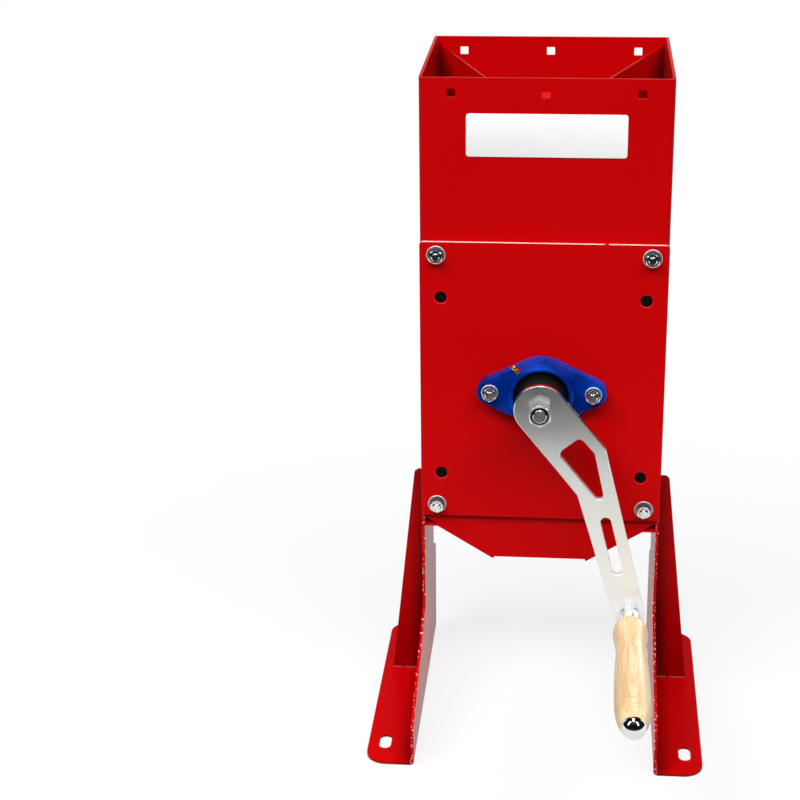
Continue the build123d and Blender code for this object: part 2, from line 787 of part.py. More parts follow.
# Crank arm: outline from hub to handle end with a bend in the plane, a four-sided window and a slot
crank_back = shaft_plane(crank_back_y)
with BuildPart() as crank_arm:
    with BuildSketch(crank_back):
        Circle(crank_hub_radius)
        with Locations(crank_kink_left, crank_kink_right):
            Circle(crank_kink_radius)
        make_hull()
    extrude(amount=crank_thickness)
    with BuildSketch(crank_back):
        with Locations(crank_kink_left, crank_kink_right):
            Circle(crank_kink_radius)
        with Locations(crank_end):
            Circle(crank_end_radius)
        make_hull()
    extrude(amount=crank_thickness)
    with BuildSketch(crank_back) as cut_outs:
        with BuildLine():
            Polyline(*crank_window, close=True)
        make_face()
        fillet(cut_outs.vertices(), crank_window_radius)
        slot_dx = crank_slot_end[0] - crank_slot_start[0]
        slot_dy = crank_slot_end[1] - crank_slot_start[1]
        with Locations(
            ((crank_slot_start[0] + crank_slot_end[0]) / 2, (crank_slot_start[1] + crank_slot_end[1]) / 2)
        ):
            SlotCenterToCenter(
                hypot(slot_dx, slot_dy), crank_slot_width, rotation=degrees(atan2(slot_dy, slot_dx))
            )
        with Locations((crank_end[0], crank_end[1] + handle_rise)):
            Circle(spindle_diameter / 2 + slip)
    extrude(amount=crank_thickness, mode=Mode.SUBTRACT)
    with BuildSketch(crank_back):
        Circle(crank_seat_diameter / 2 + slip)
        Rectangle(crank_seat_diameter + 2 * slip, crank_seat_flats + 2 * slip, mode=Mode.INTERSECT)
    extrude(amount=crank_thickness, mode=Mode.SUBTRACT)
    for flat in (0, -1):
        chamfer(crank_arm.faces().sort_by(Axis.Y)[flat].edges(), crank_edge)
save(crank_arm.part, "crank_arm")

with BuildPart() as crank_nut:
    with BuildSketch(crank_back.offset(crank_thickness)):
        RegularPolygon(hex_radius(crank_nut_flats), 6, rotation=crank_nut_turn)
        Circle(crank_thread / 2 + slip / 2, mode=Mode.SUBTRACT)
    extrude(amount=crank_nut_height)
save(crank_nut.part, "crank_nut")

# Handle: a spindle fixed in the crank arm, and a wooden grip with ferrule and cap that turns on it
handle_start = spindle_collar + handle_gap
pocket_floor = grip_end - pocket_depth
spindle_shoulder = pocket_floor + handle_gap
cap_radius = grip_profile[-1][1]
cap_plug_radius = pocket_diameter / 2 - slip
handle_section = Plane(origin=(handle_x, crank_face_y, handle_z), x_dir=(0, -1, 0), z_dir=(-1, 0, 0))
handle_base = Plane(origin=(handle_x, crank_face_y, handle_z), x_dir=(1, 0, 0), z_dir=(0, -1, 0))

with BuildPart() as handle_spindle:
    with BuildSketch(handle_base.offset(-crank_thickness - back_nut_height - thread_end)):
        Circle(spindle_diameter / 2)
    extrude(amount=crank_thickness + back_nut_height + thread_end + spindle_shoulder)
    with BuildSketch(handle_base):
        Circle(spindle_collar_diameter / 2)
    extrude(amount=spindle_collar)
    with BuildSketch(handle_base.offset(spindle_shoulder)):
        Circle(spindle_thread / 2)
    extrude(amount=spindle_nut_height + thread_end)
save(handle_spindle.part, "handle_spindle")

with BuildPart() as spindle_back_nut:
    with BuildSketch(handle_base.offset(-crank_thickness)):
        RegularPolygon(hex_radius(back_nut_flats), 6)
        Circle(spindle_diameter / 2 + slip / 2, mode=Mode.SUBTRACT)
    extrude(amount=-back_nut_height)
save(spindle_back_nut.part, "spindle_back_nut")

with BuildPart() as spindle_end_nut:
    with BuildSketch(handle_base.offset(spindle_shoulder)):
        RegularPolygon(hex_radius(spindle_nut_flats), 6)
        Circle(spindle_thread / 2 + slip / 2, mode=Mode.SUBTRACT)
    extrude(amount=spindle_nut_height)
save(spindle_end_nut.part, "spindle_end_nut")

with BuildPart() as handle_grip:
    with BuildSketch(handle_section):
        with BuildLine():
            Polyline(
                (grip_end, cap_radius),
                (grip_end, 0),
                (tenon_start + slip, 0),
                (tenon_start + slip, ferrule_bore / 2 - slip),
                (ferrule_end, ferrule_bore / 2 - slip),
                grip_profile[0],
            )
            Spline(*grip_profile)
        make_face()
    revolve(axis=handle_line)
    with BuildSketch(handle_base.offset(tenon_start)):
        Circle(spindle_diameter / 2 + running)
    extrude(amount=grip_end, mode=Mode.SUBTRACT)
    with BuildSketch(handle_base.offset(pocket_floor)):
        Circle(pocket_diameter / 2)
    extrude(amount=pocket_depth, mode=Mode.SUBTRACT)
save(handle_grip.part, "handle_grip")

with BuildPart() as handle_ferrule:
    with BuildSketch(handle_section):
        with BuildLine():
            Polyline(
                (handle_start, spindle_diameter / 2 + running),
                (handle_start, ferrule_collar_diameter / 2 - ferrule_edge),
                (handle_start + ferrule_edge, ferrule_collar_diameter / 2),
                (ferrule_collar_end - ferrule_edge, ferrule_collar_diameter / 2),
                (ferrule_collar_end, ferrule_groove_diameter / 2),
                (ferrule_bead_start, ferrule_groove_diameter / 2),
                (ferrule_bead_start + ferrule_edge, ferrule_bead_diameter / 2),
                (ferrule_bead_end - ferrule_edge, ferrule_bead_diameter / 2),
                (ferrule_bead_end, ferrule_groove_diameter / 2),
                (ferrule_sleeve_start, ferrule_groove_diameter / 2),
                (ferrule_sleeve_start + ferrule_edge, ferrule_sleeve_diameter / 2),
                (ferrule_end, ferrule_sleeve_diameter / 2),
                (ferrule_end, ferrule_bore / 2),
                (tenon_start, ferrule_bore / 2),
                (tenon_start, spindle_diameter / 2 + running),
                close=True,
            )
        make_face()
    revolve(axis=handle_line)
save(handle_ferrule.part, "handle_ferrule")

with BuildPart() as handle_cap:
    with BuildSketch(handle_section):
        with BuildLine():
            Polyline(
                (grip_end + cap_dome, 0),
                (grip_end - cap_plug, 0),
                (grip_end - cap_plug, cap_plug_radius),
                (grip_end, cap_plug_radius),
                (grip_end, cap_radius),
            )
            EllipticalCenterArc((grip_end, 0), cap_dome, cap_radius, start_angle=0, arc_size=90)
        make_face()
    revolve(axis=handle_line)
save(handle_cap.part, "handle_cap")
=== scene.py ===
import math

import bpy
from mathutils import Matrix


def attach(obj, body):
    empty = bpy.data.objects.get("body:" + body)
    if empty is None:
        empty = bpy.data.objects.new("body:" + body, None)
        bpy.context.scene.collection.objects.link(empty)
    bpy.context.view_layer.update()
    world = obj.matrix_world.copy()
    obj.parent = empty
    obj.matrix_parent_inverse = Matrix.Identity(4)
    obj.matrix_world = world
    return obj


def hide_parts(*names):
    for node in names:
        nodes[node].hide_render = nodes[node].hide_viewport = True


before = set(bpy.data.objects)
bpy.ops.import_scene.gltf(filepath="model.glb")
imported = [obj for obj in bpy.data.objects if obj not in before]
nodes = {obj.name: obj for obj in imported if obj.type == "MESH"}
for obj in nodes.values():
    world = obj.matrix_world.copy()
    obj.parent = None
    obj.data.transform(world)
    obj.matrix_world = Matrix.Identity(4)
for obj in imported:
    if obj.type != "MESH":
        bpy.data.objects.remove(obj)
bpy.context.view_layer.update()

bpy.ops.object.select_all(action="DESELECT")


# Sheet body: the folded shell, rear wall, bearing plates, ribs, hopper guides and chute plates are
# welded from steel sheet and powder coated in one gloss red with a fine orange peel. The coat is
# chipped pale on the legs' cut edges. A pale painted highlight runs along the front plate's top edge
# and the foot of each rib, a bright red painted highlight rings the round windows, and painted shade
# darkens the ribs towards the bottom and next to the legs, the feet next to the legs and the bottom
# edges of the feet.
class Shade:
    """A value in a material's node tree. Sums and products of values add their Math nodes."""

    def __init__(self, tree, socket=None):
        self.tree = tree
        self.socket = socket

    def node(self, kind, settings=None, sockets=None, out=0):
        made = self.tree.nodes.new(kind)
        for name, value in (settings or {}).items():
            if name == "stops":
                stops = made.color_ramp.elements
                while len(stops) < len(value):
                    stops.new(1.0)
                for stop, (place, colour) in zip(stops, value):
                    stop.position = place
                    stop.color = (*colour, 1.0)
            else:
                setattr(made, name, value)
        for name, value in (sockets or {}).items():
            if isinstance(value, Shade):
                self.tree.links.new(value.socket, made.inputs[name])
            else:
                made.inputs[name].default_value = value
        return Shade(self.tree, made.outputs[out])

    def maths(self, operation, first, second=0.0):
        return self.node("ShaderNodeMath", {"operation": operation}, {0: first, 1: second})

    def __add__(self, other):
        return self.maths("ADD", self, other)

    def __radd__(self, other):
        return self.maths("ADD", other, self)

    def __sub__(self, other):
        return self.maths("SUBTRACT", self, other)

    def __rsub__(self, other):
        return self.maths("SUBTRACT", other, self)

    def __mul__(self, other):
        return self.maths("MULTIPLY", self, other)

    def __rmul__(self, other):
        return self.maths("MULTIPLY", other, self)

    def __gt__(self, other):
        return self.maths("GREATER_THAN", self, other)

    def __lt__(self, other):
        return self.maths("LESS_THAN", self, other)


def new_finish(name, **sockets):
    """A material with its plain numbers set: returns it, the start of its nodes and its shader."""
    material = bpy.data.materials.new(name)
    material.use_nodes = True
    shader = material.node_tree.nodes["Principled BSDF"]
    for socket, value in sockets.items():
        shader.inputs[socket.replace("_", " ")].default_value = value
    return material, Shade(material.node_tree), shader


def feed(shader, socket, value):
    value.tree.links.new(value.socket, shader.inputs[socket])


def place_of(shade):
    return shade.node("ShaderNodeTexCoord", out="Object")


def axis_of(shade, place, axis):
    return shade.node("ShaderNodeSeparateXYZ", {}, {0: place}, out=axis)


def noise(shade, place, scale, detail=2.0, roughness=0.5):
    return shade.node(
        "ShaderNodeTexNoise", {}, {"Vector": place, "Scale": scale, "Detail": detail, "Roughness": roughness}
    )


def stretched(shade, place, scale, location=(0.0, 0.0, 0.0)):
    return shade.node("ShaderNodeMapping", {}, {"Vector": place, "Location": location, "Scale": scale})


def ranged(shade, value, start, end, low=0.0, high=1.0):
    """Takes a value that runs from start to end to one from low to high, held at both ends."""
    return shade.node(
        "ShaderNodeMapRange", {},
        {"Value": value, "From Min": start, "From Max": end, "To Min": low, "To Max": high},
    )


def blend(shade, share, first, second):
    return shade.node(
        "ShaderNodeMix", {"data_type": "RGBA"}, {"Factor": share, 6: first, 7: second}, out=2
    )


def bump(shade, height, distance):
    return shade.node("ShaderNodeBump", {}, {"Height": height, "Distance": distance})


def coat(material, *names):
    for name in names:
        for slot in nodes[name].material_slots:
            slot.material = material


leg_out, leg_in, leg_top = 0.1235, 0.1195, 0.205
leg_front_top, leg_front_foot = 0.006, -0.145
flare_top, flare_foot = 0.100, 0.042
edge_wear = 0.0009
plate_top, plate_highlight_band, plate_skin, plate_arris = 0.508, 0.0004, 0.0055, 0.0032
window_x, window_z, window_rise, window_highlight_radius = 0.102, 0.3545, 0.0955, 0.0071
rib_front, rib_back, rib_top, rib_shade_height, corner_shade_width = 0.040, 0.052, 0.25, 0.20, 0.018
foot_skin, foot_line, rib_foot_band_height = 0.0036, 0.0012, 0.0011
red_paint, shade, shader = new_finish("red_paint", Specular_IOR_Level=0.06)
place = place_of(shade)
side = shade.maths("ABSOLUTE", axis_of(shade, place, "X"))
depth = axis_of(shade, place, "Y")
height = axis_of(shade, place, "Z")
cloud = noise(shade, place, 7.0, 3.0)
peel = noise(shade, place, 380.0, 1.0)
streak = noise(shade, stretched(shade, place, (40.0, 420.0, 5.0)), 1.0, 3.0)
front_edge = ranged(shade, height, flare_foot, flare_top, leg_front_foot, leg_front_top)
on_leg = (side > leg_in) * (side < leg_out) * (height < leg_top)
worn = (depth - front_edge < edge_wear) * on_leg
chips = worn * (noise(shade, place, 330.0, 3.0, 0.7) > 0.61)
# The pale band along the front plate's top edge is a painted highlight.
top_edge_highlight = (height > plate_top - plate_highlight_band) * (height < plate_top + plate_highlight_band) * (depth < plate_arris)
top_edge_highlight = top_edge_highlight * (noise(shade, place, 90.0, 3.0) > 0.38)
# The bright red ring round each round window is a painted highlight.
over = shade.maths("ABSOLUTE", shade.maths("ABSOLUTE", height - window_z) - window_rise)
aside = side - window_x
ringed = (over * over + aside * aside < window_highlight_radius * window_highlight_radius) * (depth < plate_skin)
outside = side > leg_out
on_rib = outside * (depth > rib_front) * (depth < rib_back) * (height > foot_skin) * (height < rib_top)
on_foot = outside * (height < foot_skin)
# Painted shade: the ribs darken towards the bottom and, with the feet, next to the legs, and a thin dark line
# along the bottom edges of the feet is a painted contact shadow.
low = ranged(shade, height, rib_shade_height, 0.0, 0.0, 0.55)
corner = ranged(shade, side, leg_out + corner_shade_width, leg_out, 0.0, 0.65)
# The pale speckled line along the foot of each rib is a painted highlight.
pale_rib_foot_highlight = on_rib * (height < foot_skin + rib_foot_band_height) * (noise(shade, place, 90.0, 3.0) > 0.42)
painted_shade = on_rib * (low + corner) + on_foot * corner + 0.7 * (height < foot_line)
sound = blend(shade, cloud, (0.47, 0.0006, 0.0012, 1), (0.54, 0.0008, 0.0020, 1))
# The painted shade takes the red towards near black.
sound = blend(shade, painted_shade, sound, (0.045, 0.0002, 0.0004, 1))
edged = blend(shade, ringed, sound, (0.74, 0.004, 0.010, 1))
# Real chips on the legs' edges and the painted highlights of the plate's top edge and the ribs' feet turn the
# paint pale.
chips_and_highlights = chips + top_edge_highlight * 0.9 + pale_rib_foot_highlight * 0.2
feed(shader, "Base Color", blend(shade, chips_and_highlights, edged, (0.80, 0.62, 0.58, 1)))
feed(shader, "Roughness", 0.22 + 0.08 * cloud + 0.3 * chips)
feed(shader, "Normal", bump(shade, peel + 1.6 * streak - 1.5 * chips, 0.00006))
coat(
    red_paint, "housing_shell", "rear_wall", "front_bearing_plate", "rear_bearing_plate",
    "left_gusset", "right_gusset", "left_guide", "right_guide", "left_chute_plate", "right_chute_plate",
)


# Label plate: a thin white plastic plate with rounded corners and a soft edge, stuck to the front
# wall under the rim. It is bare, and faintly clouded by handling.
label_left, label_right = -0.0770, 0.0788
label_bottom, label_top = 0.5935, 0.6362
label_thickness, label_corner, label_edge = 0.0007, 0.003, 0.00025
front_wall_y = 0.006
bpy.ops.mesh.primitive_plane_add(
    size=1.0,
    location=((label_left + label_right) / 2, front_wall_y, (label_bottom + label_top) / 2),
    rotation=(math.pi / 2, 0.0, 0.0),
)
label = bpy.context.object
label.name = "label_plate"
label.scale = (label_right - label_left, label_top - label_bottom, 1.0)
bpy.ops.object.transform_apply(location=True, rotation=True, scale=True)
bpy.ops.object.mode_set(mode="EDIT")
bpy.ops.mesh.select_all(action="SELECT")
bpy.ops.mesh.bevel(offset=label_corner, segments=8, affect="VERTICES")
bpy.ops.mesh.extrude_region_move(TRANSFORM_OT_translate={"value": (0.0, -label_thickness, 0.0)})
bpy.ops.mesh.bevel(offset=label_edge, segments=3, affect="EDGES")
bpy.ops.mesh.select_all(action="SELECT")
bpy.ops.mesh.normals_make_consistent(inside=False)
bpy.ops.object.mode_set(mode="OBJECT")
bpy.ops.object.shade_smooth_by_angle(angle=math.radians(40.0))
label_white, shade, shader = new_finish("label_white")
place = place_of(shade)
haze = noise(shade, place, 45.0, 4.0)
feed(shader, "Base Color", blend(shade, haze, (0.88, 0.88, 0.88, 1), (0.94, 0.94, 0.94, 1)))
feed(shader, "Roughness", 0.28 + 0.16 * haze)
label.data.materials.append(label_white)
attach(label, "frame")


# Tie rods: four M8 rods clamp the two bearing plates, with a washer and a nut at each end. Rods and
# nuts are bright zinc plate, the washers a milky one. The nuts' flanks and the washers' outer faces
# are painted near black, a painted dark reflection.
def turned(name, outline, sides):
    """A piece turned about the Y axis from (radius, Y) points, closed on the axis or on itself."""
    bpy.ops.object.select_all(action="DESELECT")
    bpy.ops.mesh.primitive_plane_add(size=0.001)
    piece = bpy.context.object
    piece.name = name
    bpy.ops.object.mode_set(mode="EDIT")
    bpy.ops.mesh.select_all(action="SELECT")
    bpy.ops.mesh.merge(type="CENTER")
    bpy.ops.transform.translate(value=(outline[0][0], outline[0][1], 0.0))
    for (here, start), (there, end) in zip(outline, outline[1:]):
        bpy.ops.mesh.extrude_region_move(TRANSFORM_OT_translate={"value": (there - here, end - start, 0.0)})
    bpy.ops.mesh.select_all(action="SELECT")
    bpy.ops.mesh.spin(steps=sides, angle=2 * math.pi, center=(0.0, 0.0, 0.0), axis=(0.0, 1.0, 0.0))
    bpy.ops.mesh.select_all(action="SELECT")
    bpy.ops.mesh.remove_doubles(threshold=0.000001)
    bpy.ops.mesh.normals_make_consistent(inside=False)
    bpy.ops.object.mode_set(mode="OBJECT")
    bpy.ops.object.shade_smooth_by_angle(angle=math.radians(28.0))
    return piece


def cut(piece, tool, operation):
    knife = piece.modifiers.new(operation, "BOOLEAN")
    knife.operation = operation
    knife.object = tool
    bpy.context.view_layer.objects.active = piece
    bpy.ops.object.modifier_apply(modifier=knife.name)
    bpy.data.objects.remove(tool)


def hex_nut(name, flats, height, bore, flare=1.2, steep=1.0):
    """A nut on the Y axis, one corner up, with chamfered corners and a countersunk bore."""
    corner = flats / math.sqrt(3)
    face = 0.475 * flats
    slope = 0.6 * (corner - face)
    sink = flare * bore
    bpy.ops.object.select_all(action="DESELECT")
    bpy.ops.mesh.primitive_cylinder_add(
        vertices=6, radius=corner, depth=1.5 * height, rotation=(math.pi / 2, 0.0, 0.0)
    )
    nut = bpy.context.object
    nut.name = name
    bpy.ops.object.transform_apply(location=True, rotation=True, scale=True)
    bpy.ops.object.mode_set(mode="EDIT")
    bpy.ops.mesh.select_all(action="SELECT")
    bpy.ops.mesh.bevel(offset=0.035 * flats, segments=3, affect="EDGES")
    bpy.ops.object.mode_set(mode="OBJECT")
    half = height / 2
    crown = turned("crown", [(0.0, -half), (face, -half), (1.02 * corner, slope - half),
                             (1.02 * corner, half - slope), (face, half), (0.0, half)], 72)
    cut(nut, crown, "INTERSECT")
    if bore > 0.0:
        mouth, throat = sink + half / steep, half - steep * (sink - bore)
        drill = turned("drill", [(0.0, -height), (mouth, -height), (bore, -throat), (bore, throat),
                                 (mouth, height), (0.0, height)], 48)
        cut(nut, drill, "DIFFERENCE")
    bpy.ops.object.select_all(action="DESELECT")
    nut.select_set(True)
    bpy.context.view_layer.objects.active = nut
    bpy.ops.object.shade_smooth_by_angle(angle=math.radians(28.0))
    return nut


def washer(name, outer, inner, thickness):
    """A stamped washer: its rim rolls off on both faces over a width of most of its thickness."""
    half, roll = thickness / 2, 0.8 * thickness
    rim = [(outer - roll + roll * math.sin(math.radians(turn)), half * math.cos(math.radians(turn)))
           for turn in range(0, 181, 15)]
    return turned(name, [(inner, half), *rim, (inner, -half), (inner, half)], 64)


def thread(radius, start, end, pitch, depth):
    """Outline points of thread grooves from start to end along Y."""
    turns = int(abs(end - start) / pitch)
    step = math.copysign(pitch, end - start)
    points = []
    for turn in range(turns):
        crest = start + turn * step
        points += [(radius, crest), (radius, crest + 0.2 * step), (radius - depth, crest + 0.55 * step),
                   (radius - depth, crest + 0.65 * step)]
    return points + [(radius, start + turns * step)]


def set_at(piece, places, stem, material, body, slot, *replaced):
    """Puts a copy of the piece, each with its own mesh, at every place and removes the pattern."""
    for number, spot in enumerate(places, 1):
        bpy.ops.object.select_all(action="DESELECT")
        piece.select_set(True)
        bpy.context.view_layer.objects.active = piece
        bpy.ops.object.duplicate(linked=False)
        copy = bpy.context.object
        copy.name = f"{stem}_{number}" if len(places) > 1 else stem
        bpy.ops.transform.translate(value=spot)
        bpy.ops.object.transform_apply(location=True, rotation=True, scale=True)
        copy.data.materials.clear()
        copy.data.materials.append(material)
        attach(copy, body)
        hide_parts(*replaced)
    bpy.data.objects.remove(piece)


rod_radius, rod_chamfer, nut_bore, nut_flats, washer_bore = 0.004, 0.0008, 0.00405, 0.013, 0.0042
pitch, groove, threaded, thread_end = 0.00125, 0.0006, 0.022, 0.0025
tie_nut_height, tie_washer_height, tie_washer_radius = 0.0065, 0.0016, 0.0095
tie_x, tie_low, tie_high = 0.1065, 0.2236, 0.4944
tie_places = [(x, z) for x in (-tie_x, tie_x) for z in (tie_low, tie_high)]
plate_front_y, plate_rear_y = 0.001, 0.121
rod_half = (plate_rear_y - plate_front_y) / 2 + tie_washer_height + tie_nut_height + thread_end
rod_middle = (plate_rear_y + plate_front_y) / 2
flange_thickness = 0.013


def over_seats(shade, place, low, high):
    """1 where a point lies between two heights over the faces of the plates or of the flanges."""
    out = shade.maths("ABSOLUTE", axis_of(shade, place, "Y") - rod_middle)
    plate_seat = plate_rear_y - rod_middle
    flange_seat = plate_seat + flange_thickness
    on_plate = (out > plate_seat + low) * (out < plate_seat + high)
    return on_plate + (out > flange_seat + low) * (out < flange_seat + high)


zinc, shade, shader = new_finish("zinc_hardware", Metallic=1.0)
place = place_of(shade)
film = noise(shade, place, 240.0, 3.0)
grain = noise(shade, place, 2600.0, 2.0)
plated = blend(shade, film, (0.78, 0.79, 0.80, 1), (0.90, 0.90, 0.90, 1))
# The nuts' flanks are painted near black, a painted dark reflection.
dark_flank_reflection = over_seats(shade, place, tie_washer_height, tie_washer_height + 0.85 * tie_nut_height)
feed(shader, "Base Color", blend(shade, dark_flank_reflection * (0.5 + 0.5 * film), plated, (0.10, 0.11, 0.12, 1)))
feed(shader, "Roughness", 0.06 + 0.10 * film)
feed(shader, "Normal", bump(shade, grain, 0.000008))
milky_zinc, shade, shader = new_finish("milky_zinc", Metallic=0.5)
place = place_of(shade)
film = noise(shade, place, 200.0, 3.0)
plated = blend(shade, film, (0.80, 0.82, 0.85, 1), (0.92, 0.93, 0.95, 1))
# The washers' outer faces are painted near black, a painted dark reflection.
dark_washer_reflection = over_seats(shade, place, 0.9 * tie_washer_height, 1.1 * tie_washer_height)
feed(shader, "Base Color", blend(shade, dark_washer_reflection * 0.85, plated, (0.05, 0.06, 0.06, 1)))
feed(shader, "Roughness", 0.20 + 0.12 * film)
feed(shader, "Normal", bump(shade, film, 0.00002))

tie_rod = turned("tie_rod", [(0.0, -rod_half), (rod_radius - rod_chamfer, -rod_half)]
                 + thread(rod_radius, rod_chamfer - rod_half, threaded - rod_half, pitch, groove)
                 + thread(rod_radius, rod_half - threaded, rod_half - rod_chamfer, pitch, groove)
                 + [(rod_radius - rod_chamfer, rod_half), (0.0, rod_half)], 40)
set_at(tie_rod, [(x, rod_middle, z) for x, z in tie_places],
       "tie_rod_bar", zinc, "frame", "zinc_hardware", "tie_rods")
washer_out = tie_washer_height / 2
washer_ys = (plate_front_y - washer_out, plate_rear_y + washer_out)
set_at(washer("washer", tie_washer_radius, washer_bore, tie_washer_height),
       [(x, y, z) for x, z in tie_places for y in washer_ys],
       "tie_washer", milky_zinc, "frame", "zinc_hardware", "tie_rod_washers")
nut_out = tie_washer_height + tie_nut_height / 2
nut_ys = (plate_front_y - nut_out, plate_rear_y + nut_out)
set_at(hex_nut("nut", nut_flats, tie_nut_height, nut_bore),
       [(x, y, z) for x, z in tie_places for y in nut_ys],
       "tie_nut", zinc, "frame", "zinc_hardware", "tie_rod_nuts")


# Cross bars: round bars carry the jaws, and their stepped ends sit in the plates' four round windows.
# They are blackened steel. The bearings' outer rings share the finish as painted shade.
black_steel, shade, shader = new_finish("black_steel", Specular_IOR_Level=0.04)
place = place_of(shade)
scale_skin = noise(shade, place, 320.0, 4.0)
feed(shader, "Base Color", blend(shade, scale_skin, (0.0015, 0.0015, 0.0015, 1), (0.005, 0.005, 0.005, 1)))
feed(shader, "Roughness", 0.45 + 0.2 * scale_skin)
feed(shader, "Normal", bump(shade, scale_skin, 0.00005))
# The bearings' outer rings are painted near black, a painted shade inside the housings' mouths.
coat(black_steel, "jaw_bars", "front_bearing_outer_ring", "rear_bearing_outer_ring")


# Jaws and drum: a ribbed drum on the shaft presses the nuts against two toothed jaws. All three are
# dark grey iron castings with a sandy, stained skin.
cast_iron, shade, shader = new_finish("dark_cast_iron", Metallic=0.6)
place = place_of(shade)
sand = noise(shade, place, 700.0, 4.0)
stain = noise(shade, place, 35.0, 3.0)
feed(shader, "Base Color", blend(shade, sand * stain, (0.035, 0.033, 0.031, 1), (0.16, 0.15, 0.14, 1)))
feed(shader, "Roughness", 0.42 + 0.25 * sand)
feed(shader, "Normal", bump(shade, sand, 0.00025))
coat(cast_iron, "cracking_drum", "left_jaw", "right_jaw")


# Flange bearings: cast housings under thick blue gloss paint that shows the casting skin, with ground
# steel inner rings, black seals and a brass grease nipple. Inside the bored mouth the housing is
# painted near black as painted shade.
shaft_height, shaded_mouth_radius, tool_marks = 0.3545, 0.0284, 2600.0


def length_of(shade, vector):
    return shade.node("ShaderNodeVectorMath", {"operation": "LENGTH"}, {0: vector}, out="Value")


def from_shaft(shade, place):
    return length_of(shade, stretched(shade, place, (1.0, 0.0, 1.0), (0.0, 0.0, -shaft_height)))


blue_paint, shade, shader = new_finish("blue_paint", Specular_IOR_Level=0.06)
place = place_of(shade)
skin = noise(shade, place, 170.0, 3.0)
cloud = noise(shade, place, 28.0, 3.0)
# Inside the bored mouth the paint is replaced by near black, a painted shade.
mouth_shade = from_shaft(shade, place) < shaded_mouth_radius
thick = ranged(shade, cloud, 0.32, 0.62)
painted = blend(shade, thick, (0.0, 0.008, 0.11, 1), (0.0, 0.046, 0.42, 1))
feed(shader, "Base Color", blend(shade, mouth_shade, painted, (0.002, 0.003, 0.010, 1)))
feed(shader, "Roughness", 0.14 + 0.10 * cloud + 0.1 * mouth_shade)
feed(shader, "Normal", bump(shade, skin, 0.0006))
coat(blue_paint, "front_bearing_housing", "rear_bearing_housing")

steel, shade, shader = new_finish("bright_steel", Metallic=1.0)
place = place_of(shade)
lathe = shade.node("ShaderNodeCombineXYZ", {}, {0: from_shaft(shade, place) * tool_marks, 1: 0.0, 2: 0.0})
rings = noise(shade, lathe, 1.0, 2.0)
film = noise(shade, place, 180.0, 2.0)
feed(shader, "Base Color", blend(shade, film, (0.52, 0.51, 0.49, 1), (0.66, 0.65, 0.63, 1)))
feed(shader, "Roughness", 0.14 + 0.14 * rings)
feed(shader, "Normal", bump(shade, rings, 0.00003))
coat(
    steel, "front_bearing_inner_ring", "rear_bearing_inner_ring", "front_bearing_balls", "rear_bearing_balls",
    "shaft", "drum_key", "crank_spacer", "bearing_set_screws", "handle_spindle",
)

rubber, shade, shader = new_finish("black_rubber", Specular_IOR_Level=0.15)
place = place_of(shade)
film = noise(shade, place, 500.0, 2.0)
feed(shader, "Base Color", blend(shade, film, (0.002, 0.002, 0.002, 1), (0.006, 0.006, 0.006, 1)))
feed(shader, "Roughness", 0.5 + 0.2 * film)
coat(rubber, "front_bearing_seals", "rear_bearing_seals")

brass, shade, shader = new_finish("brass", Metallic=1.0)
place = place_of(shade)
film = noise(shade, place, 600.0, 2.0)
feed(shader, "Base Color", blend(shade, film, (0.70, 0.40, 0.11, 1), (0.86, 0.58, 0.22, 1)))
feed(shader, "Roughness", 0.14 + 0.14 * film)
coat(brass, "grease_nipples")


# Bearing bolts: two M8 bolts hold each flange, with their heads inside the housing and a washer and a
# nut on the flange. They are zinc plated like the tie rods.
bolt_nut_height, bolt_washer_height, bolt_washer_radius, bolt_head = 0.0068, 0.0016, 0.0085, 0.0053
plate_thickness, bolt_x = 0.005, 0.052
flange_front_y = plate_front_y - flange_thickness
bolt_tip = flange_front_y - bolt_washer_height - bolt_nut_height - thread_end
bolt_seat = plate_front_y + plate_thickness
bolt_half = (bolt_seat - bolt_tip) / 2
bolt = turned("bolt", [(0.0, -bolt_half), (rod_radius - rod_chamfer, -bolt_half)]
              + thread(rod_radius, rod_chamfer - bolt_half, threaded - bolt_half, pitch, groove)
              + [(rod_radius, bolt_half), (0.0, bolt_half)], 40)
head = hex_nut("head", nut_flats, bolt_head, 0.0)
bpy.ops.object.select_all(action="DESELECT")
head.select_set(True)
bpy.ops.transform.translate(value=(0.0, bolt_half + bolt_head / 2, 0.0))
bolt.select_set(True)
bpy.context.view_layer.objects.active = bolt
bpy.ops.object.join()
rear_bolt = bolt.copy()
rear_bolt.data = bolt.data.copy()
bpy.context.scene.collection.objects.link(rear_bolt)
bpy.ops.object.select_all(action="DESELECT")
rear_bolt.select_set(True)
bpy.context.view_layer.objects.active = rear_bolt
rear_bolt.rotation_euler = (0.0, 0.0, math.pi)
bpy.ops.object.transform_apply(location=True, rotation=True, scale=True)
bolt_xs = (-bolt_x, bolt_x)
bolt_middle = (bolt_seat + bolt_tip) / 2
mirror_y = plate_front_y + plate_rear_y
set_at(bolt, [(x, bolt_middle, shaft_height) for x in bolt_xs],
       "front_bolt", zinc, "frame", "zinc_hardware", "bearing_bolts")
set_at(rear_bolt, [(x, mirror_y - bolt_middle, shaft_height) for x in bolt_xs],
       "rear_bolt", zinc, "frame", "zinc_hardware", "bearing_bolts")
bolt_washer_y = flange_front_y - bolt_washer_height / 2
bolt_nut_y = flange_front_y - bolt_washer_height - bolt_nut_height / 2
set_at(washer("washer", bolt_washer_radius, washer_bore, bolt_washer_height),
       [(x, y, shaft_height) for x in bolt_xs for y in (bolt_washer_y, mirror_y - bolt_washer_y)],
       "bolt_washer", milky_zinc, "frame", "zinc_hardware", "bearing_washers")
